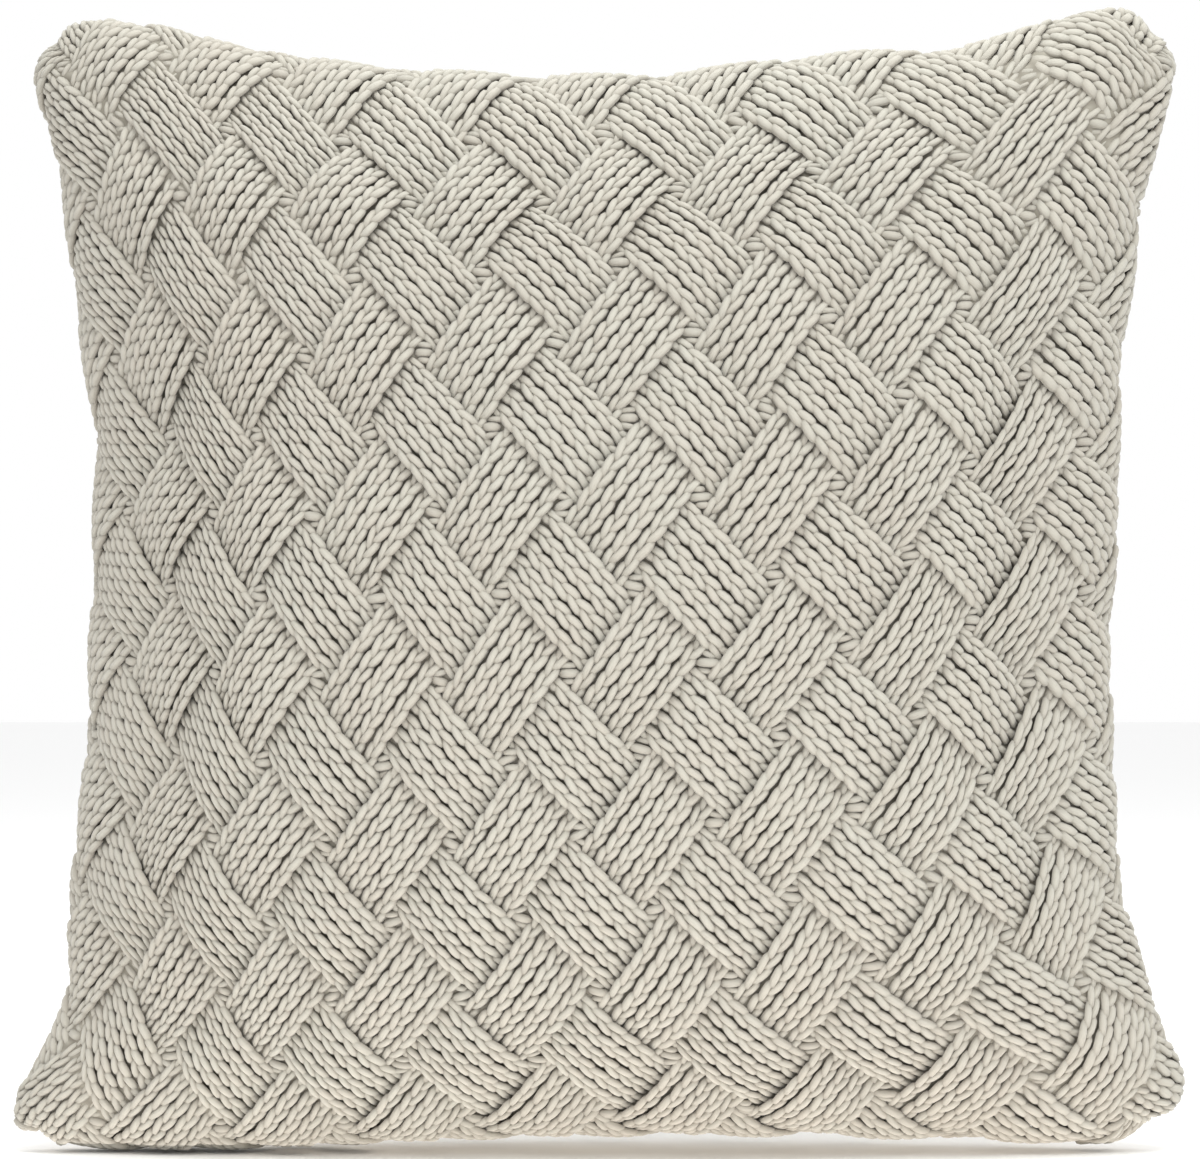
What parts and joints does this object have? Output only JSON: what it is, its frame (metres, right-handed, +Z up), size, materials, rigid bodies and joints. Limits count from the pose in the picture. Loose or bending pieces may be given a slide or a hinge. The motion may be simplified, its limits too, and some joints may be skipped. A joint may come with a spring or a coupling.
{
  "type": "throw pillow",
  "caption": "Square cable-knit throw pillow with drawn-out corners, standing on its lower edge, with a zip across the lower back and a fibre-filled insert.",
  "frame": {"origin": "on the floor, under the middle of the pillow's bounding box", "axes": "+Z up, the patterned front faces -Y and the zip is on the +Y side, +X to the right as the front is seen"},
  "size_m": [0.4982, 0.17, 0.4842],
  "materials": {
    "knit": "matt chunky cotton yarn",
    "seam_yarn": "matt yarn",
    "case_cotton": "plain woven cotton",
    "fibre_fill": "loose polyester fibre",
    "tape_weave": "narrow woven polyester tape",
    "nylon_coil": "satin nylon",
    "sewing_thread": "spun thread",
    "slider_metal": "satin enamel on zinc",
    "stop_metal": "pressed aluminium"
  },
  "bodies": {
    "cushion": {"front_panel": "knit", "back_panel_upper": "knit", "back_panel_lower": "knit", "cover_seam": "seam_yarn", "insert_front": "case_cotton", "insert_back": "case_cotton", "insert_seam": "case_cotton", "filling": "fibre_fill", "zip_tape_upper": "tape_weave", "zip_tape_lower": "tape_weave", "zip_coil_upper": "nylon_coil", "zip_coil_lower": "nylon_coil", "zip_thread_upper": "sewing_thread", "zip_thread_lower": "sewing_thread", "zip_top_stop_upper": "stop_metal", "zip_top_stop_lower": "stop_metal", "zip_bottom_stop": "stop_metal"},
    "slider": {"zip_slider": "slider_metal"},
    "pull": {"zip_pull_tab": "slider_metal"}
  },
  "joints": [
    {"name": "zip_open", "type": "hinge", "parent": "cushion", "child": "slider", "pos_m": [0, -0.59659, 0.26818], "axis": [0, 0.287, 0.9579], "range_deg": [0, 27.38]},
    {"name": "tab_flip", "type": "hinge", "parent": "slider", "child": "pull", "pos_m": [0.163, 0.04438, 0.07615], "axis": [0, -0.287, -0.9579], "range_deg": [0, 180]}
  ]
}
